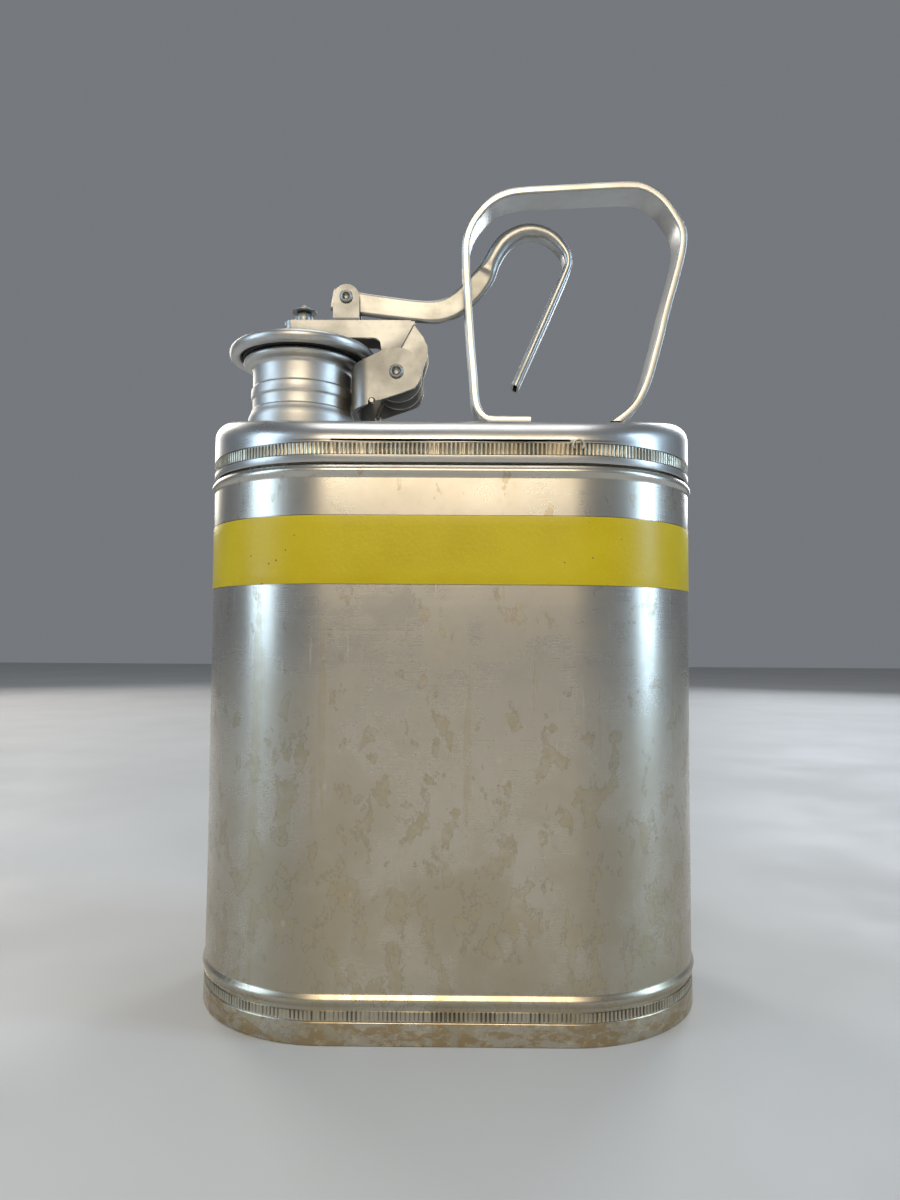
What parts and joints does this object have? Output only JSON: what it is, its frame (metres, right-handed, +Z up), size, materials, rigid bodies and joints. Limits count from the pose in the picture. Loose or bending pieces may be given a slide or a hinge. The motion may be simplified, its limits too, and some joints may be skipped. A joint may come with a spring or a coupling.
{
  "type": "safety can",
  "caption": "Oval stainless steel safety can with a sprung hinged pouring cap, trigger lever, flame arrester, painted marker band and fixed strap handle.",
  "frame": {"origin": "middle of the can's footprint, on the plane it stands on", "axes": "+X from the pouring cap towards the rear of the handle, +Y away from the side that shows the trigger lever passing to the right, +Z up"},
  "size_m": [0.2046, 0.1156, 0.346],
  "materials": {
    "body_steel": "satin stainless, fine horizontal brushing, water stains",
    "lid_steel": "satin stainless, drawn, fine scuffs",
    "hinge_steel": "matte stainless with a warm tarnish and small pits",
    "lever_steel": "matte flattened tube, handled smooth",
    "strap_steel": "satin flat bar, bright edges",
    "spring_steel": "dull wire",
    "dull_steel": "dull, darkened",
    "marker_paint": "yellow enamel, slightly orange-peeled, dark specks",
    "gasket_rubber": "matte black rubber"
  },
  "bodies": {
    "can": {"body_shell": "body_steel", "marker_band": "marker_paint", "bottom_pan": "body_steel", "top_lid": "lid_steel", "neck": "lid_steel", "flame_arrester": "dull_steel", "hinge_bracket": "hinge_steel", "hinge_pin": "hinge_steel", "pin_sleeve": "dull_steel", "spring_front": "spring_steel", "spring_rear": "spring_steel", "carry_handle": "strap_steel", "handle_pad": "strap_steel"},
    "arm": {"cap_arm": "hinge_steel", "cap_stud": "hinge_steel", "stud_washer": "hinge_steel", "stud_keeper": "hinge_steel", "trigger_clevis": "hinge_steel", "clevis_rivet": "hinge_steel", "trigger_rivet": "hinge_steel"},
    "cap": {"pouring_cap": "lid_steel", "cap_gasket": "gasket_rubber", "gasket_retainer": "dull_steel", "stud_spacer": "dull_steel"},
    "lever": {"trigger_lever": "lever_steel"}
  },
  "joints": [
    {"name": "arm_hinge", "type": "hinge", "parent": "can", "child": "arm", "pos_m": [-0.0233, 0, 0.2586], "axis": [0, 1, 0], "range_deg": [0, 13], "stiffness_Nm_per_rad": 2, "springref_deg": -34.38, "deforming": ["spring_front", "spring_rear"]},
    {"name": "cap_spin", "type": "hinge", "parent": "arm", "child": "cap", "pos_m": [-0.0655, 0, 0.27], "axis": [0, 0, 1], "continuous": true},
    {"name": "lever_pivot", "type": "hinge", "parent": "arm", "child": "lever", "pos_m": [-0.0465, 0, 0.2956], "axis": [0, 1, 0], "range_deg": [-6, 0]}
  ]
}
